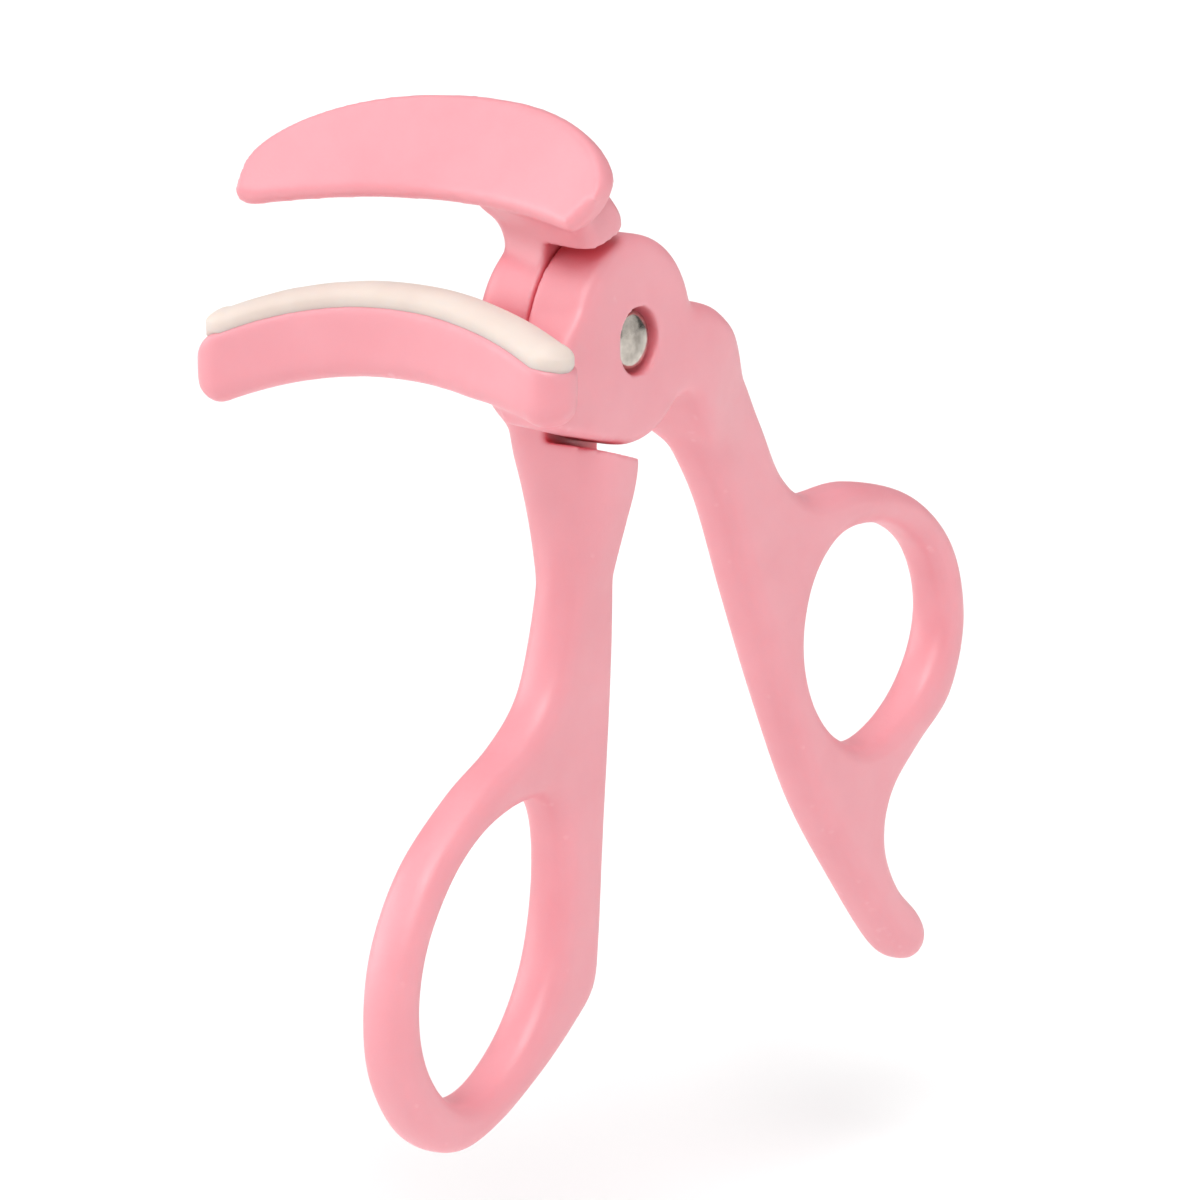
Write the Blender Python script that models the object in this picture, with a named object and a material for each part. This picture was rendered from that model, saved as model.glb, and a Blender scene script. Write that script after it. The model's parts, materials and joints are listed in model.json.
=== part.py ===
"""Scissor-type eyelash curler, modelled in its open resting position.

Two plastic levers cross in a half-lap hub and turn about one rivet.  The upper jaw lever carries the
finger ring and the curved blade of the upper jaw.  The lower jaw lever carries the thumb ring, the
finger rest and the curved bar that holds the silicone pad.  All design coordinates are millimetres
from the rivet's axis where it meets the front face of the hub: x to the right, y along the rivet
towards the back, z up.  The objects stand in metres, with +Z up.
"""
from math import ceil, cos, pi, radians, sin, sqrt

import bmesh
import bpy
from mathutils import Vector
from mathutils.geometry import tessellate_polygon

MM = 0.001

# Driving dimensions, in millimetres and degrees
PIVOT = Vector((-13.35, -14.79, 60.8))  # rivet axis on the hub's front face, from the origin
HUB_DEPTH = 10.0                       # both hub halves together, along the rivet
HUB_RADIUS = 8.0                       # both discs of the hub
GAP = 0.3                              # clearance between touching pieces
TURNING_GAP = 0.4                      # clearance between a hub disc and the wall around it
HANDLE_FRONT = 2.1                     # front face of the rings and shafts
HANDLE_DEPTH = 4.4                     # rings and shafts, front to back
HANDLE_ROUND = 1.5                     # rounding of the rings' and shafts' edges
HUB_ROUND = 1.2                        # rounding of the hub's edges
SHOULDER_SLOPE = radians(-16.5)        # the opening stop, below the hub
CLOSING_ANGLE = radians(36.0)          # turn of the lower jaw lever from open to closed
JAW_NEAR_END = (-12.3, -0.15, 1.7)     # middle of the pad's top at the hub end, jaws open
JAW_RADIUS = 32.8                      # the jaws follow an arc
JAW_TILT = radians(54.0)               # slope of the arc's plane, jaws open
JAW_NEAR_ANGLE = radians(26.5)         # from the middle of the arc to the hub end
JAW_FAR_ANGLE = radians(27.7)          # from the middle of the arc to the free end
BAR_WIDTH = 4.2
BAR_DEPTH = 5.6                        # height of the lower jaw's bar
BAR_END_DEPTH = 4.7                    # height of the bar at the hub end
PAD_WIDTH = 3.5
PAD_PROUD = 1.6                        # top of the pad above the bar
CHANNEL_WIDTH = 3.2
CHANNEL_DEPTH = 1.5
BLADE_THICKNESS = 2.2                  # wall of the upper jaw
BLADE_HEIGHT = 9.3                     # in the middle of the arc
BLADE_PRESS_GAP = 0.45                 # left between the pad and the upper jaw when closed
RECESS_RADIUS = 2.6                    # around the rivet's head
RECESS_DEPTH = 1.3
RIVET_HEAD_RADIUS = 2.3
SHANK_RADIUS = 1.5
WASHER_RADIUS = 2.9
WASHER_DEPTH = 0.6
TAIL_RECESS_RADIUS = 3.3
TAIL_RECESS_DEPTH = 1.1

LAP = HUB_DEPTH / 2
HANDLE_BACK = HANDLE_FRONT + HANDLE_DEPTH
BORE_RADIUS = SHANK_RADIUS + GAP
PINK = (0.86, 0.40, 0.46, 1.0)
CREAM = (0.90, 0.84, 0.76, 1.0)
NICKEL = (0.72, 0.68, 0.64, 1.0)

# Outlines in the plane of the levers, as points (x, z) on a smooth curve
UPPER_LEVER_OUTLINE = (
    (-2.5, -7.5), (1.2, -12.0), (1.2, -18.7), (0.4, -27.0), (-0.6, -38.5), (-1.2, -46.4), (-2.0, -50.6),
    (-5.0, -53.2), (-9.7, -56.0), (-15.3, -58.4), (-20.1, -59.0), (-24.5, -56.7), (-27.6, -51.8),
    (-28.2, -46.5), (-27.0, -41.2), (-23.4, -36.0), (-17.5, -31.9), (-12.2, -29.4), (-8.6, -26.6),
    (-6.8, -22.6), (-5.8, -16.5), (-5.0, -11.0))
FINGER_HOLE = (
    (-10.0, -33.9), (-13.6, -34.2), (-17.4, -35.5), (-20.9, -38.1), (-23.8, -42.2), (-24.8, -46.8),
    (-23.7, -51.2), (-20.5, -54.7), (-16.0, -55.0), (-11.4, -52.3), (-8.2, -48.0), (-6.7, -42.8),
    (-6.6, -37.8), (-7.8, -34.8))
LOWER_LEVER_OUTLINE = (
    (11.0, -1.5), (17.1, -3.2), (21.7, -9.6), (25.0, -14.5), (29.6, -17.2), (37.5, -17.5), (46.5, -20.1),
    (52.8, -25.2), (54.9, -32.2), (52.5, -38.6), (47.1, -42.1), (43.0, -45.2), (42.0, -49.0),
    (44.2, -53.2), (48.0, -56.6), (49.1, -59.0), (47.2, -60.8), (43.8, -59.0), (37.4, -52.0),
    (30.6, -43.6), (25.0, -33.8), (20.3, -24.4), (16.2, -15.8), (11.0, -8.0))
THUMB_HOLE = (
    (37.6, -21.2), (33.2, -22.0), (29.9, -24.9), (28.7, -29.4), (30.1, -34.0), (33.6, -37.8),
    (38.2, -39.8), (42.8, -39.4), (47.3, -37.2), (50.4, -33.6), (50.9, -29.6), (48.4, -25.2),
    (43.4, -22.2))


# ---------------------------------------------------------------- points and curves

def circle(radius, steps, centre=(0.0, 0.0)):
    """Points on a circle in the plane of the levers, counter-clockwise."""
    turns = [2 * pi * i / steps for i in range(steps)]
    return [Vector((centre[0] + radius * cos(t), centre[1] + radius * sin(t))) for t in turns]


def smooth_loop(points, spacing):
    """Closed Catmull-Rom curve through the points, with a point about every `spacing`."""
    knots = [Vector(p) for p in points]
    count = len(knots)
    loop = []
    for i in range(count):
        before, start, end, after = (knots[(i + k) % count] for k in (-1, 0, 1, 2))
        steps = max(1, ceil((end - start).length / spacing - 0.35))
        for k in range(steps):
            t = k / steps
            loop.append(0.5 * (2 * start + (end - before) * t
                               + (2 * before - 5 * start + 4 * end - after) * t ** 2
                               + (3 * start - before - 3 * end + after) * t ** 3))
    return loop


def counter_clockwise(loop, wanted=True):
    """The loop, turned round if its direction is not the wanted one."""
    area = sum(a.x * b.y - b.x * a.y for a, b in zip(loop, loop[1:] + loop[:1]))
    return loop if (area > 0) == wanted else loop[::-1]


def inset(loop, distance):
    """The loop moved to its left by a distance: into the material for a counter-clockwise outline."""
    moved = []
    for i, point in enumerate(loop):
        before = (point - loop[i - 1]).normalized()
        after = (loop[(i + 1) % len(loop)] - point).normalized()
        along = (before + after).normalized()
        normal = Vector((-along.y, along.x))
        moved.append(point + normal * distance / max(0.5, before.dot(along)))
    return moved


def turn_about_pivot(point, angle):
    """A point turned about the rivet's axis; a positive angle lifts what is on the left."""
    x, y, z = point
    return Vector((x * cos(angle) + z * sin(angle), y, z * cos(angle) - x * sin(angle)))


def jaw_line(steps, before=0.0, after=0.0):
    """Points along the top of the pad, hub end first, jaws open; it can run on past both ends."""
    near = turn_about_pivot(JAW_NEAR_END, JAW_TILT)
    centre = near - JAW_RADIUS * Vector((cos(JAW_NEAR_ANGLE), -sin(JAW_NEAR_ANGLE), 0.0))
    first = -JAW_NEAR_ANGLE - before
    points = []
    for i in range(steps + 1):
        turn = first + (JAW_FAR_ANGLE + after - first) * i / steps
        point = centre + JAW_RADIUS * Vector((cos(turn), sin(turn), 0.0))
        points.append(turn_about_pivot(point, -JAW_TILT))
    return points


def stations_along(line):
    """Each point of a line with the level direction away from the inside of its curve."""
    stations = []
    last = len(line) - 1
    for i, point in enumerate(line):
        along = line[min(i + 1, last)] - line[max(i - 1, 0)]
        flat = Vector((along.x, along.y, 0.0)).normalized()
        stations.append((point, flat, Vector((flat.y, -flat.x, 0.0))))
    return stations


def swept_strip(line, half_profile, end_radius):
    """Upright sections of a strip with round ends; half_profile gives (sideways, up) points."""
    sections = []
    end_shares = (0.97, 0.8, 0.5)
    stations = stations_along(line)
    last = len(stations) - 1
    rows = [(0.0, s, stations[0], -1) for s in end_shares]
    rows += [(i / last, 0.0, station, 1) for i, station in enumerate(stations)]
    rows += [(1.0, s, stations[-1], 1) for s in reversed(end_shares)]
    for share, end_share, (point, flat, side), way in rows:
        middle = point + flat * way * end_radius * end_share
        narrow = sqrt(1 - end_share * end_share)
        half = [side * wide * narrow + Vector((0.0, 0.0, up)) for wide, up in half_profile(share)]
        mirrored = [Vector((-p.x, -p.y, p.z)) for p in reversed(half)]
        sections.append([middle + p for p in half + mirrored])
    return sections


# ---------------------------------------------------------------- meshes and objects

def make_object(name, builder, material=None):
    """An object whose origin is on the rivet's axis, from a bmesh in millimetres."""
    builder.normal_update()
    bmesh.ops.triangulate(builder, faces=[f for f in builder.faces if len(f.verts) > 3])
    bmesh.ops.recalc_face_normals(builder, faces=builder.faces)
    bmesh.ops.scale(builder, vec=(MM, MM, MM), verts=builder.verts)
    mesh = bpy.data.meshes.new(name)
    builder.to_mesh(mesh)
    builder.free()
    mesh.shade_smooth()
    mesh.set_sharp_from_angle(angle=radians(35))
    made = bpy.data.objects.new(name, mesh)
    made.location = PIVOT * MM
    bpy.context.scene.collection.objects.link(made)
    if material:
        mesh.materials.append(material)
    return made


def rounded_plate(name, outline, holes, front, back, front_round, back_round, material=None):
    """A plate between two depths, with holes and rounded edges."""
    steps = 2
    rows = []
    for edge, radius, way in ((front, front_round, 1), (back, back_round, -1)):
        turns = [pi / 2 * k / steps for k in range(steps + 1)] if radius else [pi / 2]
        row = [(radius * (1 - sin(t)), edge + way * radius * (1 - cos(t))) for t in turns]
        rows += row if way > 0 else row[::-1]
    loops = [counter_clockwise(list(outline))] + [counter_clockwise(list(h), False) for h in holes]
    builder = bmesh.new()
    caps = {0: [], len(rows) - 1: []}
    for loop in loops:
        rings = []
        for k, (distance, depth) in enumerate(rows):
            flat = inset(loop, distance) if distance else loop
            ring = [builder.verts.new((p.x, depth, p.y)) for p in flat]
            rings.append(ring)
            if k in caps:
                caps[k].append(ring)
        for one, two in zip(rings, rings[1:]):
            bridge(builder, one, two)
    for group in caps.values():
        corners = [v for ring in group for v in ring]
        flats = [[Vector((v.co.x, v.co.z, 0.0)) for v in ring] for ring in group]
        for triangle in tessellate_polygon(flats):
            builder.faces.new([corners[i] for i in triangle])
    return make_object(name, builder, material)


def bridge(builder, one, two):
    """Quads between two closed rings with the same number of vertices."""
    count = len(one)
    for i in range(count):
        j = (i + 1) % count
        builder.faces.new((one[i], one[j], two[j], two[i]))


def loft(name, sections, material=None):
    """A closed skin over rings of points, with a flat face at each end."""
    builder = bmesh.new()
    rings = [[builder.verts.new(p) for p in section] for section in sections]
    for one, two in zip(rings, rings[1:]):
        bridge(builder, one, two)
    for ring in (rings[0], rings[-1]):
        builder.faces.new(ring)
    return make_object(name, builder, material)


def turned(name, profile, steps, material=None):
    """A piece turned about the rivet's axis from (radius, depth) points; it starts and ends on it."""
    builder = bmesh.new()
    inner = profile[1:-1]
    first, last = (builder.verts.new((0.0, depth, 0.0)) for _, depth in (profile[0], profile[-1]))
    rings = []
    for radius, depth in inner:
        rings.append([builder.verts.new((p.x, depth, p.y)) for p in circle(radius, steps)])
    for one, two in zip(rings, rings[1:]):
        bridge(builder, one, two)
    for i in range(steps):
        j = (i + 1) % steps
        builder.faces.new((first, rings[0][i], rings[0][j]))
        builder.faces.new((last, rings[-1][i], rings[-1][j]))
    return make_object(name, builder, material)


def cylinder(name, radius, front, back, steps=48):
    """A plain cylinder along the rivet's axis."""
    return turned(name, ((0, front), (radius, front), (radius, back), (0, back)), steps)


def rounded_box_section(left_front, left_back, right, front, back, height):
    """A level ring: a four-sided section whose corners are cut off twice; its left may be skewed."""
    cut = HUB_ROUND
    corners = ((left_front, front, 1, 1), (right, front, -1, 1), (right, back, -1, -1),
               (left_back, back, 1, -1))
    ring = []
    for k, (x, y, way_x, way_y) in enumerate(corners):
        points = [Vector((x, y + way_y * cut, height)),
                  Vector((x + way_x * cut * 0.3, y + way_y * cut * 0.3, height)),
                  Vector((x + way_x * cut, y, height))]
        ring += points if k % 2 == 0 else points[::-1]
    return ring


def boolean(target, tool, operation, solver="EXACT"):
    """Join a hidden tool object to the target, or cut the target with it."""
    modifier = target.modifiers.new(operation.lower() + "_" + tool.name, "BOOLEAN")
    modifier.operation = operation
    modifier.object = tool
    modifier.solver = solver
    tool.hide_render = True
    tool.display_type = "WIRE"


def plastic(name, colour, roughness, metallic=0.0):
    """A Principled material."""
    made = bpy.data.materials.new(name)
    made.use_nodes = True
    shader = made.node_tree.nodes["Principled BSDF"]
    shader.inputs["Base Color"].default_value = colour
    shader.inputs["Roughness"].default_value = roughness
    shader.inputs["Metallic"].default_value = metallic
    return made


# ---------------------------------------------------------------- upper jaw lever

def blade_sections():
    """Sections of the upper jaw, a thin wall that is tallest in the middle of the arc."""
    before, after = radians(3.4), radians(2.8)
    steps = 20
    half = BLADE_THICKNESS / 2
    sections = []
    for i, (point, _, side) in enumerate(stations_along(jaw_line(steps, before, after))):
        share = i / steps
        swell = sqrt(max(0.0, 1 - abs(2 * share - 1.0) ** 2.6))
        top = BLADE_HEIGHT * (0.45 + 0.55 * swell)
        near_rise = 3.4 * max(0.0, 1 - share / 0.075)
        far_rise = 0.8 * max(0.0, 1 - (1 - share) / 0.05)
        bottom = min(BLADE_PRESS_GAP + near_rise + far_rise, top - 1.0)
        cut = min(0.5, (top - bottom) * 0.25)
        profile = ((0.0, bottom), (half, bottom + 3 * cut), (half, top - cut), (half - cut, top),
                   (cut - half, top), (-half, top - cut), (-half, bottom + cut), (cut - half, bottom))
        ring = [point + side * wide + Vector((0.0, 0.0, up)) for wide, up in profile]
        sections.append([turn_about_pivot(p, CLOSING_ANGLE) for p in ring])
    return sections


def front_space_sections():
    """The space for the lower lever in the front half: above the shoulder, under the jaw's root."""
    along = Vector((cos(SHOULDER_SLOPE), sin(SHOULDER_SLOPE)))
    foot = Vector((-along.y, along.x)) * -(HUB_RADIUS + TURNING_GAP + 0.2)
    under_root = [Vector(p) for p in ((-24.0, 8.4), (-8.4, 8.4), (-7.6, 7.5), (-5.0, 7.7), (-2.4, 8.5),
                                      (-0.9, 9.2), (-0.6, 20.0))]
    outline = [foot + along * 24, foot - along * 24] + under_root + [Vector((20.0, 20.0))]
    return [[Vector((p.x, depth, p.y)) for p in outline] for depth in (-4.0, LAP + GAP / 2)]


def make_upper_jaw_lever(material):
    lever = rounded_plate("upper_jaw_lever", smooth_loop(UPPER_LEVER_OUTLINE, 2.6),
                          [smooth_loop(FINGER_HOLE, 2.8)], HANDLE_FRONT, HANDLE_BACK,
                          HANDLE_ROUND, HANDLE_ROUND, material)
    shaft = loft("upper_shaft_swell", [rounded_box_section(left, left, right, front, back, height)
                                       for height, left, right, front, back in (
        (-20.0, -6.2, 0.8, 2.2, 6.4), (-17.0, -5.6, 1.2, 1.6, 7.1), (-14.0, -5.1, 1.4, 0.9, 7.9),
        (-11.0, -4.8, 1.7, 0.3, 8.7), (-8.0, -4.9, 1.7, 0.1, 9.4), (-3.0, -5.2, 1.7, 0.1, 9.7))])
    rear_disc = rounded_plate("rear_hub_disc", circle(HUB_RADIUS, 56), [], LAP - 1.0, HUB_DEPTH,
                              0.0, HUB_ROUND)
    root = loft("jaw_root", [rounded_box_section(left_front, left_back, right, front, back, height)
                             for height, left_front, left_back, right, front, back in (
        (3.5, -6.6, -6.6, -1.0, 0.3, 9.7), (5.5, -5.9, -5.4, -1.0, 0.3, 9.7),
        (7.0, -6.1, -4.5, -1.0, 0.3, 9.9), (8.6, -6.6, -4.2, -1.2, 0.2, 10.8),
        (9.8, -7.7, -4.6, -1.4, 0.2, 12.2), (11.0, -7.7, -5.0, -2.4, 0.3, 12.2),
        (12.3, -6.9, -4.8, -3.6, 0.6, 11.0))])
    blade = loft("upper_jaw_blade", blade_sections())
    front_space = loft("space_for_lower_lever", front_space_sections())
    for tool in (shaft, rear_disc, root, blade):
        boolean(lever, tool, "UNION")
    for tool in (front_space, cylinder("upper_bore", BORE_RADIUS, -2.0, HUB_DEPTH + 1.0, 24),
                 cylinder("tail_recess", TAIL_RECESS_RADIUS, HUB_DEPTH - TAIL_RECESS_DEPTH,
                          HUB_DEPTH + 1.0, 32)):
        boolean(lever, tool, "DIFFERENCE")
    return lever


# ---------------------------------------------------------------- lower jaw lever

def bar_half_profile(share):
    """Half of the bar's section, top first; the bar is less deep near the hub."""
    half = BAR_WIDTH / 2
    top = -PAD_PROUD
    bottom = top - BAR_DEPTH + (BAR_DEPTH - BAR_END_DEPTH) * max(0.0, 1 - 4 * share)
    return ((half - 0.25, top), (half, top - 0.25), (half, bottom + 1.1), (half - 0.35, bottom + 0.35),
            (half - 1.1, bottom))


def channel_half_profile(_):
    """Half of the space for the pad: the channel, and above it room for the pad's bead."""
    bead = PAD_WIDTH / 2 + GAP
    shelf = -PAD_PROUD + 0.05
    return ((bead, 3.0), (bead, shelf), (CHANNEL_WIDTH / 2, shelf),
            (CHANNEL_WIDTH / 2, -PAD_PROUD - CHANNEL_DEPTH))


def arm_sections():
    """Sections across the arm from the hub to the shaft, from (distance, inner, outer, front, back)."""
    direction = radians(-34.0)
    along = Vector((cos(direction), sin(direction)))
    across = Vector((-along.y, along.x))
    rows = ((5.0, -4.0, 5.9, 0.3, 8.0), (8.2, -1.0, 7.1, 0.3, 8.8), (10.0, -0.2, 7.4, 0.3, 9.0),
            (12.5, -0.7, 7.4, 0.6, 8.6), (15.0, -1.3, 6.8, 1.2, 7.8), (18.0, -1.4, 5.6, 1.8, 7.0),
            (21.0, -1.4, 4.2, 2.2, 6.4))
    sections = []
    for distance, inner, outer, front, back in rows:
        level = rounded_box_section(inner, inner, outer, front, back, 0.0)
        flat = [along * distance + across * p.x for p in level]
        sections.append([Vector((f.x, p.y, f.y)) for f, p in zip(flat, level)])
    return sections


def make_lower_jaw_lever(material):
    lever = rounded_plate("lower_jaw_lever", smooth_loop(LOWER_LEVER_OUTLINE, 2.6),
                          [smooth_loop(THUMB_HOLE, 2.8)], HANDLE_FRONT, HANDLE_BACK,
                          HANDLE_ROUND, HANDLE_ROUND, material)
    arm = loft("arm_swell", arm_sections())
    disc = rounded_plate("front_hub_disc", circle(HUB_RADIUS, 56), [], 0.0, LAP + 1.0,
                         HUB_ROUND, 0.0)
    root_outline = [Vector(p) for p in ((-3.0, -7.4), (-3.5, 3.0), (-5.6, 4.6), (-7.4, 3.0), (-9.6, 0.9),
                                        (-10.6, -0.4), (-12.2, -0.6), (-12.6, -2.5), (-11.6, -4.9))]
    root = rounded_plate("jaw_bar_root", root_outline, [], 0.1, LAP - 0.4, 0.8, 0.0)
    line = jaw_line(11)
    bar = loft("jaw_bar", swept_strip(line, bar_half_profile, BAR_WIDTH / 2))
    channel = loft("pad_channel", swept_strip(line, channel_half_profile, PAD_WIDTH / 2 + GAP))
    rear_space = cylinder("space_for_rear_disc", HUB_RADIUS + TURNING_GAP, LAP - GAP / 2,
                          HUB_DEPTH + GAP, 56)
    for tool in (arm, disc, root, bar):
        boolean(lever, tool, "UNION")
    for tool in (rear_space, channel,
                 cylinder("lower_bore", BORE_RADIUS, -2.0, HUB_DEPTH + 1.0, 24),
                 cylinder("head_recess", RECESS_RADIUS, -1.0, RECESS_DEPTH, 32)):
        boolean(lever, tool, "DIFFERENCE", "MANIFOLD")
    return lever


# ---------------------------------------------------------------- pad, rivet and washer

def pad_half_profile(_):
    """Half of the pad's section: a bead with a round top, on a stem in the channel."""
    bead = PAD_WIDTH / 2
    stem = CHANNEL_WIDTH / 2 - GAP
    foot = -PAD_PROUD + GAP
    return ((bead - 1.0, 0.0), (bead - 0.3, -0.3), (bead, -0.9), (bead, foot), (stem, foot),
            (stem, foot - CHANNEL_DEPTH))


def make_lash_pad(material):
    return loft("lash_pad", swept_strip(jaw_line(11), pad_half_profile, PAD_WIDTH / 2), material)


def make_pivot_rivet(material):
    head_back = RECESS_DEPTH - GAP
    tail_front = HUB_DEPTH - TAIL_RECESS_DEPTH + GAP + WASHER_DEPTH + GAP
    dome = [(RIVET_HEAD_RADIUS * sin(t), head_back - 0.25 - 0.9 * cos(t))
            for t in (pi / 2 * k / 4 for k in range(1, 5))]
    tail = [(2.1 * cos(t), tail_front + 0.2 + 0.55 * sin(t)) for t in (pi / 2 * k / 3 for k in range(3))]
    profile = [(0.0, head_back - 1.15)] + dome + [(RIVET_HEAD_RADIUS, head_back),
               (SHANK_RADIUS, head_back), (SHANK_RADIUS, tail_front), (2.1, tail_front)]
    profile += tail + [(0.0, tail_front + 0.75)]
    return turned("pivot_rivet", profile, 32, material)


def make_rivet_washer(material):
    front = HUB_DEPTH - TAIL_RECESS_DEPTH + GAP
    bore = counter_clockwise(circle(BORE_RADIUS, 28), False)
    return rounded_plate("rivet_washer", circle(WASHER_RADIUS, 28), [bore], front,
                         front + WASHER_DEPTH, 0.0, 0.0, material)


def main():
    for old in list(bpy.data.objects):
        bpy.data.objects.remove(old, do_unlink=True)
    pink = plastic("pink_plastic", PINK, 0.35)
    steel = plastic("plated_steel", NICKEL, 0.2, 1.0)
    silicone = plastic("cream_silicone", CREAM, 0.5)
    make_upper_jaw_lever(pink)
    make_pivot_rivet(steel)
    make_rivet_washer(steel)
    pivot = bpy.data.objects.new("lower_jaw_pivot", None)
    pivot.location = PIVOT * MM
    bpy.context.scene.collection.objects.link(pivot)
    for piece in (make_lower_jaw_lever(pink), make_lash_pad(silicone)):
        piece.parent = pivot
        piece.location = (0.0, 0.0, 0.0)


main()
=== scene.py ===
"""Looks of the scissor-type eyelash curler: moulded plastic levers, silicone pad, plated rivet.

The levers, the pad, the rivet and its washer are built finer than the frame's solids and stand in
their places. Design coordinates are millimetres from the rivet's axis where it meets the front face
of the hub: x to the right, y along the rivet towards the back, z up.
"""
import json
from math import ceil, cos, pi, radians, sin, sqrt

import bmesh
import bpy
from mathutils import Matrix, Vector, noise
from mathutils.geometry import tessellate_polygon


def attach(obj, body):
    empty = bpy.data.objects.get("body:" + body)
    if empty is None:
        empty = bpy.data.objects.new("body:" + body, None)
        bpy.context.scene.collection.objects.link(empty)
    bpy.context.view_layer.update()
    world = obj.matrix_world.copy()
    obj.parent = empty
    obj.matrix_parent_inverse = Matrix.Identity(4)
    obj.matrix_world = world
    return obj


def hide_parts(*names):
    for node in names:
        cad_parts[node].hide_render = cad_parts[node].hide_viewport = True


MM = 0.001

# Driving dimensions, in millimetres: the same object as the frame's
HUB_DEPTH = 10.0
HUB_RADIUS = 8.0
GAP = 0.3
TURNING_GAP = 0.4
HANDLE_FRONT = 2.1
HANDLE_BACK = 6.5
HANDLE_ROUND = 1.7
HUB_ROUND = 1.2
SHOULDER_SLOPE = radians(-16.5)
CLOSING_ANGLE = radians(36.0)
JAW_NEAR_END = (-12.3, -0.15, 1.7)
JAW_RADIUS = 32.8
JAW_TILT = radians(54.0)
JAW_NEAR_ANGLE = radians(26.5)
JAW_FAR_ANGLE = radians(27.7)
BAR_WIDTH = 4.2
BAR_DEPTH = 5.6
BAR_END_DEPTH = 4.7
PAD_WIDTH = 3.7
PAD_PROUD = 1.6
BLADE_THICKNESS = 2.2
BLADE_HEIGHT = 9.3
BLADE_PRESS_GAP = 0.45
BLADE_NEAR_OVERRUN = radians(3.4)
BLADE_FAR_OVERRUN = radians(2.8)
RECESS_RADIUS = 2.6
RECESS_DEPTH = 1.3
RIVET_HEAD_RADIUS = 2.3
SHANK_RADIUS = 1.5
WASHER_RADIUS = 2.9
WASHER_DEPTH = 0.6
TAIL_RECESS_RADIUS = 3.3
TAIL_RECESS_DEPTH = 1.1
LAP = HUB_DEPTH / 2
SLIT = 0.16                            # between the two halves of the hub
BORE_RADIUS = SHANK_RADIUS + 0.15
SHAFT_ROUND = 2.6
ARM_ROUND = 1.4
ROOT_ROUND = 1.4

# Fineness of the skins, and how many times the edges of each are softened
SPACING = 0.8
VOXEL = 0.24
DISC_STEPS = 180
HANDLE_PASSES = 24
BLADE_PASSES = 3
BAR_PASSES = 8

# Metres above the frame's lowest point: the finger rest swings below it as the jaws close
FLOOR_HEIGHT = -0.0175

# Outlines are (x, z) points
UPPER_LEVER_OUTLINE = (
    (-2.5, -9.5), (0.2, -12.5), (0.7, -18.7), (0.4, -27.0), (-0.6, -38.5), (-1.2, -46.4), (-2.0, -50.6),
    (-5.0, -53.2), (-9.7, -56.0), (-15.3, -58.4), (-20.1, -59.0), (-24.5, -56.7), (-27.6, -51.8),
    (-28.2, -46.5), (-27.0, -41.2), (-23.4, -36.0), (-17.5, -31.9), (-12.2, -29.4), (-8.6, -26.6),
    (-6.8, -22.6), (-5.2, -16.5), (-3.8, -11.5))
FINGER_HOLE = (
    (-10.0, -33.9), (-13.6, -34.2), (-17.4, -35.5), (-20.9, -38.1), (-23.8, -42.2), (-24.8, -46.8),
    (-23.7, -51.2), (-20.5, -54.7), (-16.0, -55.0), (-11.4, -52.3), (-8.2, -48.0), (-6.7, -42.8),
    (-6.6, -37.8), (-7.8, -34.8))
LOWER_LEVER_OUTLINE = (
    (11.0, -1.5), (17.1, -3.2), (21.7, -9.6), (25.0, -14.5), (29.6, -17.2), (37.5, -17.5), (46.5, -20.1),
    (52.8, -25.2), (54.9, -32.2), (52.5, -38.6), (47.1, -42.1), (43.0, -45.2), (42.0, -49.0),
    (44.2, -53.2), (48.0, -56.6), (49.1, -59.0), (47.2, -60.8), (43.8, -59.0), (37.4, -52.0),
    (30.6, -43.6), (25.0, -33.8), (20.3, -24.4), (16.2, -15.8), (11.0, -8.0))
THUMB_HOLE = (
    (37.6, -21.2), (33.2, -22.0), (29.9, -24.9), (28.7, -29.4), (30.1, -34.0), (33.6, -37.8),
    (38.2, -39.8), (42.8, -39.4), (47.3, -37.2), (50.4, -33.6), (50.9, -29.6), (48.4, -25.2),
    (43.4, -22.2))
BAR_ROOT_OUTLINE = (
    (-3.0, -7.4), (-3.5, 3.0), (-5.6, 4.6), (-7.4, 3.0), (-9.6, 0.9), (-10.6, -0.4), (-12.2, -0.6),
    (-12.6, -2.5), (-11.6, -4.9))
UNDER_JAW_ROOT = (
    (-24.0, 8.4), (-8.4, 8.4), (-7.6, 7.5), (-5.0, 7.7), (-2.4, 8.5), (-0.9, 9.2), (-0.6, 20.0))

# Level sections, upwards: (height, left at the front, left at the back, right, front, back)
UPPER_SHAFT_ROWS = (
    (-20.0, -6.2, -6.2, 0.8, 2.2, 6.4), (-17.0, -5.7, -5.7, 1.2, 1.6, 7.1),
    (-14.0, -5.3, -5.3, 1.5, 0.9, 7.9), (-11.0, -5.2, -5.2, 1.9, 0.3, 8.7),
    (-8.0, -5.4, -5.4, 2.0, 0.1, 9.4), (-3.0, -5.8, -5.8, 2.3, 0.1, 9.7))
JAW_ROOT_ROWS = (
    (3.5, -6.6, -6.6, -1.0, 0.3, 9.7), (5.5, -5.9, -5.4, -1.0, 0.3, 9.7),
    (7.0, -6.1, -4.5, -1.0, 0.3, 9.9), (8.6, -6.6, -4.2, -1.2, 0.2, 10.8),
    (9.8, -7.7, -4.6, -1.4, 0.2, 12.2), (11.0, -7.7, -5.0, -2.4, 0.3, 12.2),
    (12.3, -6.9, -4.8, -3.6, 0.6, 11.0))

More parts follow.
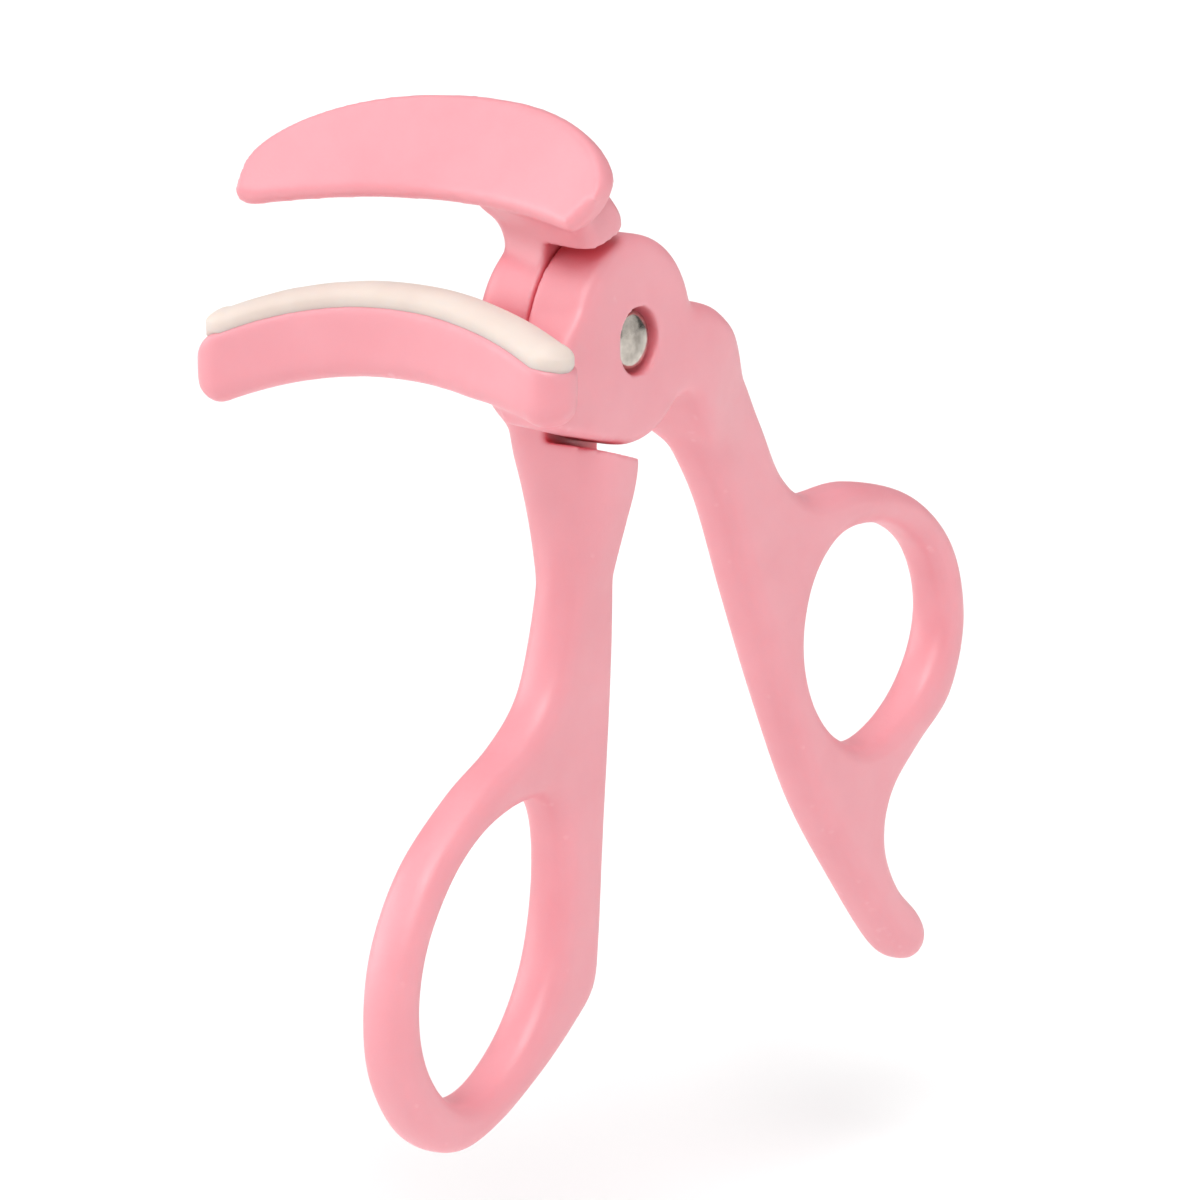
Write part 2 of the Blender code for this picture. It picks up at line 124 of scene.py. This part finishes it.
# Sections across the arm, outwards: (distance, inner side, outer side, front, back)
ARM_DIRECTION = radians(-34.0)
ARM_ROWS = (
    (4.0, -4.5, 5.5, 0.0, 8.0), (8.2, -1.0, 7.1, 0.0, 8.8), (10.0, -0.2, 7.4, 0.05, 9.0),
    (12.5, -0.7, 7.4, 0.3, 8.6), (15.0, -1.3, 6.8, 0.9, 7.8), (18.0, -1.4, 5.6, 1.6, 7.0),
    (22.0, -1.4, 4.2, 2.2, 6.4))


# ---------------------------------------------------------------- points and curves

def circle(radius, steps):
    turns = [2 * pi * i / steps for i in range(steps)]
    return [Vector((radius * cos(t), radius * sin(t))) for t in turns]


def catmull_rom(before, start, end, after, t):
    return 0.5 * (2 * start + (end - before) * t + (2 * before - 5 * start + 4 * end - after) * t ** 2
                  + (3 * start - before - 3 * end + after) * t ** 3)


def smooth_loop(points, spacing):
    """Closed Catmull-Rom curve through the points."""
    knots = [Vector(p) for p in points]
    count = len(knots)
    loop = []
    for i in range(count):
        four = [knots[(i + k) % count] for k in (-1, 0, 1, 2)]
        steps = max(1, ceil((four[2] - four[1]).length / spacing))
        loop += [catmull_rom(*four, k / steps) for k in range(steps)]
    return loop


def smooth_rows(rows, steps):
    """Rows of numbers with more rows between them, on a smooth curve."""
    knots = [Vector(r) for r in rows]
    last = len(knots) - 1
    made = []
    for i in range(last):
        four = [knots[min(max(i + k, 0), last)] for k in (-1, 0, 1, 2)]
        made += [catmull_rom(*four, k / steps) for k in range(steps)]
    return made + [knots[-1]]


def counter_clockwise(loop, wanted=True):
    area = sum(a.x * b.y - b.x * a.y for a, b in zip(loop, loop[1:] + loop[:1]))
    return loop if (area > 0) == wanted else loop[::-1]


def inset(loop, distance):
    """The loop moved to its left: into the material for a counter-clockwise outline."""
    moved = []
    for i, point in enumerate(loop):
        before = (point - loop[i - 1]).normalized()
        after = (loop[(i + 1) % len(loop)] - point).normalized()
        along = (before + after).normalized()
        moved.append(point + Vector((-along.y, along.x)) * distance / max(0.5, before.dot(along)))
    return moved


def turn_about_pivot(point, angle):
    """A point turned about the rivet's axis; a positive angle lifts what is on the left."""
    x, y, z = point
    return Vector((x * cos(angle) + z * sin(angle), y, z * cos(angle) - x * sin(angle)))


def jaw_line(steps, before=0.0, after=0.0):
    """Points along the top of the pad, hub end first, jaws open."""
    near = turn_about_pivot(JAW_NEAR_END, JAW_TILT)
    centre = near - JAW_RADIUS * Vector((cos(JAW_NEAR_ANGLE), -sin(JAW_NEAR_ANGLE), 0.0))
    first = -JAW_NEAR_ANGLE - before
    points = []
    for i in range(steps + 1):
        turn = first + (JAW_FAR_ANGLE + after - first) * i / steps
        points.append(turn_about_pivot(centre + JAW_RADIUS * Vector((cos(turn), sin(turn), 0.0)), -JAW_TILT))
    return points


def stations_along(line):
    """Each point of a line with its level direction and the level direction outwards."""
    stations = []
    last = len(line) - 1
    for i, point in enumerate(line):
        along = line[min(i + 1, last)] - line[max(i - 1, 0)]
        flat = Vector((along.x, along.y, 0.0)).normalized()
        stations.append((point, flat, Vector((flat.y, -flat.x, 0.0))))
    return stations


def swept_strip(line, half_profile, end_radius):
    """Upright sections of a strip with round ends; the profile lists (sideways, up) points."""
    sections = []
    end_shares = [sin(pi / 2 * k / 9) for k in range(8, 0, -1)]
    stations = stations_along(line)
    last = len(stations) - 1
    rows = [(0.0, s, stations[0], -1) for s in end_shares]
    rows += [(i / last, 0.0, station, 1) for i, station in enumerate(stations)]
    rows += [(1.0, s, stations[-1], 1) for s in reversed(end_shares)]
    for share, end_share, (point, flat, side), way in rows:
        middle = point + flat * way * end_radius * end_share
        narrow = sqrt(1 - end_share * end_share)
        half = [side * wide * narrow + Vector((0.0, 0.0, up)) for wide, up in half_profile(share, narrow)]
        mirrored = [Vector((-p.x, -p.y, p.z)) for p in reversed(half)]
        sections.append([middle + p for p in half + mirrored])
    return sections


# ---------------------------------------------------------------- meshes

def finished(name, builder):
    builder.normal_update()
    bmesh.ops.recalc_face_normals(builder, faces=builder.faces)
    mesh = bpy.data.meshes.new(name)
    builder.to_mesh(mesh)
    builder.free()
    return mesh


def bridge(builder, one, two):
    count = len(one)
    for i in range(count):
        j = (i + 1) % count
        builder.faces.new((one[i], one[j], two[j], two[i]))


def rounded_plate(name, outline, holes, front, back, front_round, back_round, steps=5):
    """A plate between two depths, with holes and rounded edges."""
    rows = []
    for edge, radius, way in ((front, front_round, 1), (back, back_round, -1)):
        turns = [pi / 2 * k / steps for k in range(steps + 1)] if radius else [pi / 2]
        row = [(radius * (1 - sin(t)), edge + way * radius * (1 - cos(t))) for t in turns]
        rows += row if way > 0 else row[::-1]
    loops = [counter_clockwise(list(outline))] + [counter_clockwise(list(h), False) for h in holes]
    builder = bmesh.new()
    caps = {0: [], len(rows) - 1: []}
    for loop in loops:
        rings = []
        for k, (distance, depth) in enumerate(rows):
            flat = inset(loop, distance) if distance else loop
            ring = [builder.verts.new((p.x, depth, p.y)) for p in flat]
            rings.append(ring)
            if k in caps:
                caps[k].append(ring)
        for one, two in zip(rings, rings[1:]):
            bridge(builder, one, two)
    for group in caps.values():
        corners = [v for ring in group for v in ring]
        flats = [[Vector((v.co.x, v.co.z, 0.0)) for v in ring] for ring in group]
        for triangle in tessellate_polygon(flats):
            builder.faces.new([corners[i] for i in triangle])
    return finished(name, builder)


def loft(name, sections):
    """A closed skin over rings of points, with a flat face at each end."""
    builder = bmesh.new()
    rings = [[builder.verts.new(p) for p in section] for section in sections]
    for one, two in zip(rings, rings[1:]):
        bridge(builder, one, two)
    for ring in (rings[0], rings[-1]):
        made = builder.faces.new(ring)
        made.normal_update()
        bmesh.ops.triangulate(builder, faces=[made])
    return finished(name, builder)


def turned(name, profile, steps):
    """A piece turned about the rivet's axis from (radius, depth) points; it starts and ends on it."""
    builder = bmesh.new()
    first, last = (builder.verts.new((0.0, depth, 0.0)) for _, depth in (profile[0], profile[-1]))
    rings = [[builder.verts.new((p.x, depth, p.y)) for p in circle(radius, steps)]
             for radius, depth in profile[1:-1]]
    for one, two in zip(rings, rings[1:]):
        bridge(builder, one, two)
    for i in range(steps):
        j = (i + 1) % steps
        builder.faces.new((first, rings[0][i], rings[0][j]))
        builder.faces.new((last, rings[-1][i], rings[-1][j]))
    return finished(name, builder)


def cylinder(name, radius, front, back, steps=96):
    return turned(name, ((0, front), (radius, front), (radius, back), (0, back)), steps)


def rounded_box_section(cut, height, left_front, left_back, right, front, back):
    """A level ring: a four-sided section with rounded corners; its left may be skewed."""
    ring = []
    for k, (x, y, way_x, way_y) in enumerate(((left_front, front, 1, 1), (right, front, -1, 1),
                                              (right, back, -1, -1), (left_back, back, 1, -1))):
        points = []
        for step in range(5):
            t = pi / 2 * step / 4
            points.append(Vector((x + way_x * cut * (1 - cos(t)), y + way_y * cut * (1 - sin(t)), height)))
        ring += points[::-1] if k % 2 else points
    return ring


def evaluated(holder):
    """The holder's mesh with its modifiers applied; the holder is removed."""
    graph = bpy.context.evaluated_depsgraph_get()
    made = bpy.data.meshes.new_from_object(holder.evaluated_get(graph))
    bpy.data.objects.remove(holder)
    return made


def held(mesh):
    """A passing object for a mesh, to put modifiers on."""
    holder = bpy.data.objects.new(mesh.name + "_holder", mesh)
    bpy.context.scene.collection.objects.link(holder)
    return holder


def one_skin(meshes, passes):
    """One skin over overlapping closed meshes, its edges and hollows softened."""
    builder = bmesh.new()
    for mesh in meshes:
        builder.from_mesh(mesh)
    joined = bpy.data.meshes.new("joined")
    builder.to_mesh(joined)
    builder.free()
    holder = held(joined)
    remesh = holder.modifiers.new("skin", "REMESH")
    remesh.mode = "VOXEL"
    remesh.voxel_size = VOXEL
    soften = holder.modifiers.new("soften", "SMOOTH")
    soften.factor = 0.5
    soften.iterations = passes
    return evaluated(holder)


def cut_out(mesh, tools):
    """The mesh with the tool meshes taken out of it."""
    holder = held(mesh)
    hidden = [held(tool) for tool in tools]
    for tool in hidden:
        modifier = holder.modifiers.new("cut", "BOOLEAN")
        modifier.operation = "DIFFERENCE"
        modifier.solver = "MANIFOLD"
        modifier.object = tool
    made = evaluated(holder)
    for tool in hidden:
        bpy.data.objects.remove(tool)
    return made


def placed(name, mesh, material, body, stands_for):
    """The finished mesh in the row frame, riding with its body in place of a node."""
    mesh.transform(Matrix.Translation(PIVOT) @ Matrix.Scale(MM, 4))
    mesh.shade_smooth()
    mesh.materials.clear()
    mesh.materials.append(material)
    made = bpy.data.objects.new(name, mesh)
    bpy.context.scene.collection.objects.link(made)
    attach(made, body)
    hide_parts(stands_for)


# ---------------------------------------------------------------- upper jaw lever

def blade_sections():
    """Sections of the upper jaw, a thin wall that is tallest in the middle of the arc."""
    steps = 110
    half = BLADE_THICKNESS / 2
    sections = []
    line = jaw_line(steps, BLADE_NEAR_OVERRUN, BLADE_FAR_OVERRUN)
    for i, (point, _, side) in enumerate(stations_along(line)):
        share = i / steps
        swell = sqrt(1 - abs(2 * share - 1) ** 2.6)
        top = BLADE_HEIGHT * (0.45 + 0.55 * swell)
        near_rise = 3.4 * max(0.0, 1 - share / 0.075)
        far_rise = 0.8 * max(0.0, 1 - (1 - share) / 0.05)
        bottom = min(BLADE_PRESS_GAP + near_rise + far_rise, top - 1.0)
        cut = min(0.5, (top - bottom) * 0.25)
        from_end = min(1.0, share / 0.055, (1 - share) / 0.03)
        outer = half * (1.96 * sqrt(1 - (1 - from_end) ** 2) - 0.96)
        bevel = min(cut, (outer + half) * 0.45)
        profile = ((max(bevel - half, outer - half), bottom), (outer, bottom + 3 * cut),
                   (outer, top - bevel), (outer - bevel, top), (bevel - half, top), (-half, top - bevel),
                   (-half, bottom + bevel), (bevel - half, bottom))
        ring = [point + side * wide + Vector((0.0, 0.0, up)) for wide, up in profile]
        sections.append([turn_about_pivot(p, CLOSING_ANGLE) for p in ring])
    return sections


def front_space_sections():
    """The front half's space for the other lever: above the shoulder, under the jaw's root."""
    along = Vector((cos(SHOULDER_SLOPE), sin(SHOULDER_SLOPE)))
    foot = Vector((-along.y, along.x)) * -(HUB_RADIUS + TURNING_GAP + 0.2)
    under_root = [Vector(p) for p in UNDER_JAW_ROOT]
    outline = [foot + along * 24, foot - along * 24] + under_root + [Vector((20.0, 20.0))]
    return [[Vector((p.x, depth, p.y)) for p in outline] for depth in (-4.0, LAP + SLIT / 2)]


def upper_lever_mesh():
    handle = rounded_plate("handle", smooth_loop(UPPER_LEVER_OUTLINE, SPACING),
                           [smooth_loop(FINGER_HOLE, SPACING)], HANDLE_FRONT, HANDLE_BACK,
                           HANDLE_ROUND, HANDLE_ROUND)
    shaft, root = (loft(name, [rounded_box_section(cut, *row) for row in smooth_rows(rows, 6)])
                   for name, cut, rows in (("shaft", SHAFT_ROUND, UPPER_SHAFT_ROWS),
                                           ("root", ROOT_ROUND, JAW_ROOT_ROWS)))
    disc = rounded_plate("disc", circle(HUB_RADIUS, DISC_STEPS), [], LAP - 1.0, HUB_DEPTH, 0.0, HUB_ROUND)
    body = one_skin([handle, shaft, disc], HANDLE_PASSES)
    whole = one_skin([body, root, loft("blade", blade_sections())], BLADE_PASSES)
    cuts = [loft("front_space", front_space_sections()),
            cylinder("bore", BORE_RADIUS, -2.0, HUB_DEPTH + 1.0),
            cylinder("tail_recess", TAIL_RECESS_RADIUS, HUB_DEPTH - TAIL_RECESS_DEPTH, HUB_DEPTH + 1.0)]
    return one_skin([cut_out(whole, cuts)], 2)


# ---------------------------------------------------------------- lower jaw lever

def bar_half_profile(share, narrow):
    """Half of the bar's section, top first; the bar is less deep near the hub."""
    half = BAR_WIDTH / 2
    top = -PAD_PROUD - (1.9 if share > 0.5 else 0.5) * (1 - narrow ** 2)
    bottom = -PAD_PROUD - BAR_DEPTH + (BAR_DEPTH - BAR_END_DEPTH) * max(0.0, 1 - 4 * share)
    bottom += 1.2 * (1 - narrow ** 2)
    lip = 0.14 * max(0.0, share - 0.45)
    return ((half - 0.25, top), (half, top - 0.25), (half, top - 1.2), (half - lip, top - 1.45),
            (half - lip, bottom + 1.3), (half - 0.4, bottom + 0.4), (half - 1.3, bottom))


def arm_sections():
    """Sections across the arm from the hub to the shaft."""
    along = Vector((cos(ARM_DIRECTION), sin(ARM_DIRECTION)))
    across = Vector((-along.y, along.x))
    sections = []
    for distance, inner, outer, front, back in smooth_rows(ARM_ROWS, 6):
        level = rounded_box_section(ARM_ROUND, 0.0, inner, inner, outer, front, back)
        flat = [along * distance + across * p.x for p in level]
        sections.append([Vector((f.x, p.y, f.y)) for f, p in zip(flat, level)])
    return sections


def lower_lever_mesh():
    handle = rounded_plate("handle", smooth_loop(LOWER_LEVER_OUTLINE, SPACING),
                           [smooth_loop(THUMB_HOLE, SPACING)], HANDLE_FRONT, HANDLE_BACK,
                           HANDLE_ROUND, HANDLE_ROUND)
    arm = loft("arm", arm_sections())
    disc = rounded_plate("disc", circle(HUB_RADIUS, DISC_STEPS), [], 0.0, LAP + 1.0, HUB_ROUND, 0.0)
    root = rounded_plate("root", [Vector(p) for p in BAR_ROOT_OUTLINE], [], 0.1, LAP - 0.4, 0.8, 0.0)
    bar = loft("bar", swept_strip(jaw_line(90), bar_half_profile, BAR_WIDTH / 2))
    body = one_skin([handle, arm, disc], HANDLE_PASSES)
    whole = one_skin([body, root, bar], BAR_PASSES)
    cuts = [cylinder("rear_disc_space", HUB_RADIUS + TURNING_GAP, LAP - SLIT / 2, HUB_DEPTH + GAP,
                     DISC_STEPS),
            cylinder("bore", BORE_RADIUS, -2.0, HUB_DEPTH + 1.0),
            cylinder("head_recess", RECESS_RADIUS, -1.0, RECESS_DEPTH)]
    return one_skin([cut_out(whole, cuts)], 3)


# ---------------------------------------------------------------- pad, rivet and washer

def pad_half_profile(_, narrow):
    """Half of the pad's section: a bead with a round top, lying in its seat."""
    half = PAD_WIDTH / 2
    fall = 1 - narrow ** 2
    turns = [pi / 2 * (k + 0.5) / 8 for k in range(8)]
    arc = [(half * sin(t), -1.15 + (1.15 - fall) * cos(t)) for t in turns]
    return arc + [(half, -PAD_PROUD - 0.05), (half - 0.3, -PAD_PROUD - 0.6)]


def pad_mesh():
    mesh = loft("pad", swept_strip(jaw_line(110, 0.0, radians(-0.9)), pad_half_profile, PAD_WIDTH / 2))
    for vertex in mesh.vertices:
        vertex.co.z += 0.04 * noise.noise(vertex.co * 0.35)
    return mesh


def rivet_mesh():
    """A domed head, the shank, and a tail rolled outwards over the washer."""
    head_back = RECESS_DEPTH - 0.05
    tail = HUB_DEPTH - TAIL_RECESS_DEPTH + GAP + WASHER_DEPTH + 0.05
    profile = [(0.0, head_back - 1.15)]
    profile += [(RIVET_HEAD_RADIUS * sin(t), head_back - 0.25 - 0.9 * cos(t))
                for t in (pi / 2 * k / 16 for k in range(1, 17))]
    profile += [(RIVET_HEAD_RADIUS - 0.06, head_back - 0.06), (RIVET_HEAD_RADIUS - 0.2, head_back),
                (SHANK_RADIUS, head_back), (SHANK_RADIUS, tail)]
    profile += [(1.75 + 0.38 * cos(t), tail + 0.36 + 0.34 * sin(t))
                for t in (-pi / 2 + pi * k / 12 for k in range(13))]
    profile += [(1.3, tail + 0.55), (1.05, tail + 0.3), (0.7, tail + 0.16), (0.0, tail + 0.12)]
    mesh = turned("rivet", profile, 96)
    for vertex in mesh.vertices:
        radius = Vector((vertex.co.x, 0.0, vertex.co.z)).length
        if radius > 0.1:
            vertex.co.y += 0.035 * noise.noise(vertex.co * 0.9) * min(1.0, radius)
    return mesh


def washer_mesh():
    front = HUB_DEPTH - TAIL_RECESS_DEPTH + GAP
    return rounded_plate("washer", circle(WASHER_RADIUS, 96), [circle(SHANK_RADIUS + 0.1, 96)], front,
                         front + WASHER_DEPTH, 0.12, 0.12, 4)


# ---------------------------------------------------------------- materials

class Nodes:
    """A material's node tree, with the shader at hand."""

    def __init__(self, name):
        self.material = bpy.data.materials.new(name)
        self.material.use_nodes = True
        self.tree = self.material.node_tree
        self.shader = self.tree.nodes["Principled BSDF"]

    def node(self, kind, **settings):
        made = self.tree.nodes.new(kind)
        for key, value in settings.items():
            if key in made.inputs:
                made.inputs[key].default_value = value
            else:
                setattr(made, key, value)
        return made

    def link(self, output, socket):
        self.tree.links.new(output, socket)

    def coordinates(self):
        return self.node("ShaderNodeTexCoord").outputs["Object"]

    def noise(self, scale, detail=4.0, roughness=0.5, at=None):
        made = self.node("ShaderNodeTexNoise", Scale=scale, Detail=detail, Roughness=roughness)
        self.link(at or self.coordinates(), made.inputs["Vector"])
        return made.outputs["Fac"]

    def spread(self, value, low, high, to_low, to_high):
        made = self.node("ShaderNodeMapRange")
        for key, number in (("From Min", low), ("From Max", high), ("To Min", to_low), ("To Max", to_high)):
            made.inputs[key].default_value = number
        self.link(value, made.inputs["Value"])
        return made.outputs["Result"]

    def blend(self, share, one, two):
        made = self.node("ShaderNodeMix", data_type="RGBA")
        self.link(share, made.inputs[0])
        for socket, colour in ((made.inputs[6], one), (made.inputs[7], two)):
            if isinstance(colour, tuple):
                socket.default_value = (*colour, 1.0)
            else:
                self.link(colour, socket)
        return made.outputs[2]

    def drive(self, name, output):
        self.link(output, self.shader.inputs[name])

    def mottled(self, scale, detail, one, two):
        """One colour passing into another in soft patches."""
        return self.blend(self.spread(self.noise(scale, detail), 0.35, 0.65, 0.0, 1.0), one, two)

    def bump(self, heights):
        """Bumps one after another, from (height, strength, distance)."""
        normal = None
        for height, strength, distance in heights:
            made = self.node("ShaderNodeBump", Strength=strength, Distance=distance)
            self.link(height, made.inputs["Height"])
            if normal:
                self.link(normal, made.inputs["Normal"])
            normal = made.outputs["Normal"]
        self.drive("Normal", normal)

    def set(self, **values):
        for key, value in values.items():
            self.shader.inputs[key.replace("_", " ")].default_value = value


def pink_plastic():
    """Satin moulded plastic, slightly translucent, paler on worn edges; a deep red shade is painted into its
    hollows and creases.
    """
    made = Nodes("satin_pink_plastic")
    # Painted shade: a deep red mixed into the colour where ambient occlusion and concave pointiness find
    # hollows and creases
    painted_hollow_shade = (0.78, 0.15, 0.19)
    base = made.mottled(110.0, 3.0, (0.815, 0.310, 0.354), (0.840, 0.338, 0.384))
    point = made.node("ShaderNodeNewGeometry").outputs["Pointiness"]
    shade = made.node("ShaderNodeAmbientOcclusion", samples=8)
    shade.inputs["Distance"].default_value = 0.005
    # painted shade in hollows, first from ambient occlusion, then from concave pointiness
    base = made.blend(made.spread(shade.outputs["AO"], 0.25, 0.85, 1.0, 0.0), base, painted_hollow_shade)
    base = made.blend(made.spread(point, 0.44, 0.49, 0.8, 0.0), base, painted_hollow_shade)
    scuff = made.noise(900.0, 5.0, 0.7)
    edge = made.spread(point, 0.58, 0.70, 0.0, 0.6)
    worn = made.node("ShaderNodeMath", operation="MULTIPLY")
    made.link(edge, worn.inputs[0])
    made.link(made.spread(scuff, 0.4, 0.7, 0.2, 1.0), worn.inputs[1])
    made.drive("Base Color", made.blend(worn.outputs[0], base, (0.90, 0.48, 0.53)))
    made.drive("Roughness", made.spread(made.noise(420.0, 6.0, 0.6), 0.3, 0.7, 0.36, 0.5))
    made.set(Subsurface_Weight=0.35, Subsurface_Scale=0.0016, Subsurface_Radius=(1.0, 0.42, 0.38),
             Specular_IOR_Level=0.85)
    made.bump(((made.noise(4200.0, 3.0), 0.14, 0.00006), (made.noise(160.0, 2.0), 0.10, 0.0003)))
    return made.material


def cream_silicone():
    """Soft silicone with a dull sheen, a little darker in patches."""
    made = Nodes("cream_silicone")
    made.drive("Base Color", made.mottled(140.0, 3.0, (0.70, 0.59, 0.53), (0.75, 0.65, 0.59)))
    made.drive("Roughness", made.spread(made.noise(600.0, 5.0, 0.6), 0.3, 0.7, 0.42, 0.6))
    made.set(Subsurface_Weight=0.5, Subsurface_Scale=0.0015, Subsurface_Radius=(1.0, 0.7, 0.5),
             Specular_IOR_Level=0.4, Sheen_Weight=0.08)
    made.bump(((made.noise(3800.0, 4.0, 0.6), 0.08, 0.00006),))
    return made.material


def plated_steel():
    """Nickel plate with fine turning marks and light scratches; its colour is mottled with dark patches that
    are partly painted reflection.
    """
    made = Nodes("nickel_plated_steel")
    # Patchy tone in the plate, darkened to stand in for grey patchy reflections: partly painted reflection
    made.drive("Base Color", made.mottled(480.0, 4.0, (0.28, 0.25, 0.22), (0.72, 0.66, 0.59)))
    stretch = made.node("ShaderNodeMapping")
    stretch.inputs["Scale"].default_value = (1.0, 0.2, 6.0)
    made.link(made.coordinates(), stretch.inputs["Vector"])
    scratches = made.noise(2400.0, 8.0, 0.75, stretch.outputs["Vector"])
    made.drive("Roughness", made.spread(scratches, 0.35, 0.75, 0.10, 0.26))
    made.set(Metallic=1.0)
    made.bump(((scratches, 0.10, 0.00004), (made.noise(520.0, 2.0), 0.25, 0.0002)))
    return made.material


def pale_floor():
    made = Nodes("pale_floor")
    made.drive("Base Color", made.blend(made.noise(3.0, 2.0), (0.97, 0.97, 0.97), (0.99, 0.99, 0.99)))
    made.set(Roughness=0.9, Specular_IOR_Level=0.1)
    return made.material


# ---------------------------------------------------------------- floor, light and camera

def make_floor(height):
    builder = bmesh.new()
    bmesh.ops.create_circle(builder, cap_ends=True, segments=96, radius=6.0)
    mesh = finished("floor", builder)
    mesh.materials.append(pale_floor())
    floor = bpy.data.objects.new("floor", mesh)
    floor.location = (0.0, 0.0, height)
    bpy.context.scene.collection.objects.link(floor)


def soft_sun(name, towards, strength, spread):
    """A broad distant light that lights the object and the floor evenly."""
    light = bpy.data.lights.new(name, "SUN")
    light.energy = strength
    light.angle = radians(spread)
    made = bpy.data.objects.new(name, light)
    made.rotation_euler = Vector(towards).to_track_quat("Z", "Y").to_euler()
    bpy.context.scene.collection.objects.link(made)


def make_light():
    """A white studio, dimmer on the right, with broad lights from four sides."""
    scene = bpy.context.scene
    world = bpy.data.worlds.new("studio")
    world.use_nodes = True
    tree = world.node_tree
    background = tree.nodes["Background"]
    direction = tree.nodes.new("ShaderNodeTexCoord")
    split = tree.nodes.new("ShaderNodeSeparateXYZ")
    dimming = tree.nodes.new("ShaderNodeMapRange")
    for key, number in (("From Min", -0.6), ("From Max", 0.9), ("To Min", 0.52), ("To Max", 0.16)):
        dimming.inputs[key].default_value = number
    tree.links.new(direction.outputs["Generated"], split.inputs[0])
    tree.links.new(split.outputs["X"], dimming.inputs["Value"])
    tree.links.new(dimming.outputs["Result"], background.inputs["Strength"])
    background.inputs["Color"].default_value = (1.0, 1.0, 1.0, 1.0)
    scene.world = world
    scene.view_settings.view_transform = "Standard"
    soft_sun("key", (-0.60, -0.38, 1.10), 1.30, 35.0)
    soft_sun("fill", (0.45, -0.85, 0.35), 0.48, 60.0)
    soft_sun("top", (-0.10, 0.10, 1.00), 0.90, 60.0)
    soft_sun("side", (-0.40, 0.85, 0.25), 1.20, 50.0)


def make_camera():
    """A long lens from the left front, a little above; the hinge is high in the view."""
    azimuth, elevation, distance = radians(-56.2), radians(12.8), 0.375
    aside, above = 0.003015, 0.01941
    back = Vector((sin(azimuth) * cos(elevation), -cos(azimuth) * cos(elevation), sin(elevation)))
    right = Vector((cos(azimuth), sin(azimuth), 0.0))
    up = back.cross(right)
    data = bpy.data.cameras.new("camera")
    data.sensor_width = 36.0
    data.lens = 150.0
    data.clip_start, data.clip_end = 0.01, 20.0
    camera = bpy.data.objects.new("camera", data)
    matrix = Matrix((right, up, back)).transposed().to_4x4()
    matrix.translation = PIVOT - right * aside - up * above + back * distance
    camera.matrix_world = matrix
    bpy.context.scene.collection.objects.link(camera)
    bpy.context.scene.camera = camera


# ---------------------------------------------------------------- the scene

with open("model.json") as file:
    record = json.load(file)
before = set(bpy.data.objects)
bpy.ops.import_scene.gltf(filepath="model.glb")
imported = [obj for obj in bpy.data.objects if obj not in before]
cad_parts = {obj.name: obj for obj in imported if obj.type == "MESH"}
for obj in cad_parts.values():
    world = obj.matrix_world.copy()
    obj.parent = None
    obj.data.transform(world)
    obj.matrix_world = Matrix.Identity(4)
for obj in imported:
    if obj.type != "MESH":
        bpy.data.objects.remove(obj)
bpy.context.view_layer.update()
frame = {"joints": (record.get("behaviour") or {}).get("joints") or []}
PIVOT = Vector(frame["joints"][0]["pos_m"]) - Vector((0.0, LAP * MM, 0.0))

pink, silicone, steel = pink_plastic(), cream_silicone(), plated_steel()
placed("upper_lever_moulding", upper_lever_mesh(), pink, "upper_lever", "upper_jaw_lever")
placed("lower_lever_moulding", lower_lever_mesh(), pink, "lower_lever", "lower_jaw_lever")
placed("silicone_strip", pad_mesh(), silicone, "lower_lever", "lash_pad")
placed("rivet", rivet_mesh(), steel, "upper_lever", "pivot_rivet")
placed("washer", washer_mesh(), steel, "upper_lever", "rivet_washer")

make_floor(FLOOR_HEIGHT)
make_light()
make_camera()
